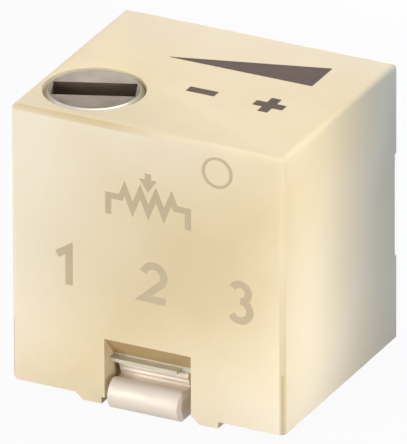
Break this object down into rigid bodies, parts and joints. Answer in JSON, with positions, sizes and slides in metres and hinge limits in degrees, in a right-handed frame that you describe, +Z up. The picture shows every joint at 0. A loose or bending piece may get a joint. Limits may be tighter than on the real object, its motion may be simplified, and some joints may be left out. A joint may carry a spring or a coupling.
{
  "type": "trimmer potentiometer",
  "caption": "Small sealed multi-turn trimmer for surface mounting: a slotted worm screw in the top turns a wiper over a ceramic element, with three hooked leads.",
  "frame": {"origin": "middle of the footprint, at the board, under the hooked leads", "axes": "+Z up out of the board towards the screw's slot, -Y towards the face over the middle lead, +X to the right of that face"},
  "size_m": [0.0038, 0.0034, 0.0038],
  "materials": {
    "housing": "fine moulded, slightly satin",
    "adjusting_screw": "turned and nickel plated, softly worn",
    "sealing_ring": "moulded",
    "retaining_clip": "stamped",
    "rotor": "moulded",
    "wiper_spring": "stamped",
    "element_substrate": "fired, unglazed",
    "resistive_track": "printed and fired",
    "printed_conductors": "printed silver",
    "base_plate": "moulded",
    "terminal_1": "tin plated",
    "terminal_2": "tin plated",
    "terminal_3": "tin plated",
    "lead_joints": "cured conductive cement",
    "sealant": "cured resin"
  },
  "bodies": {
    "case": {"housing": "housing", "sealing_ring": "sealing_ring", "element_substrate": "element_substrate", "resistive_track": "resistive_track", "printed_conductors": "printed_conductors", "base_plate": "base_plate", "terminal_1": "terminal_1", "terminal_2": "terminal_2", "terminal_3": "terminal_3", "lead_joints": "lead_joints", "sealant": "sealant"},
    "screw": {"adjusting_screw": "adjusting_screw", "retaining_clip": "retaining_clip"},
    "rotor": {"rotor": "rotor", "wiper_spring": "wiper_spring"}
  },
  "joints": [
    {"name": "screw_turn", "type": "hinge", "parent": "case", "child": "screw", "pos_m": [-0.00112, -0.00073, 0.002], "axis": [0, 0, 1], "range_deg": [-1980, 1980]},
    {"name": "rotor_turn", "type": "hinge", "parent": "case", "child": "rotor", "pos_m": [0.00012, -0.00073, 0.00188], "axis": [0, 1, 0], "range_deg": [-132.5, 132.5]}
  ],
  "couplings": [
    {"joint": "rotor_turn", "follows": "screw_turn", "ratio": -0.066667}
  ]
}
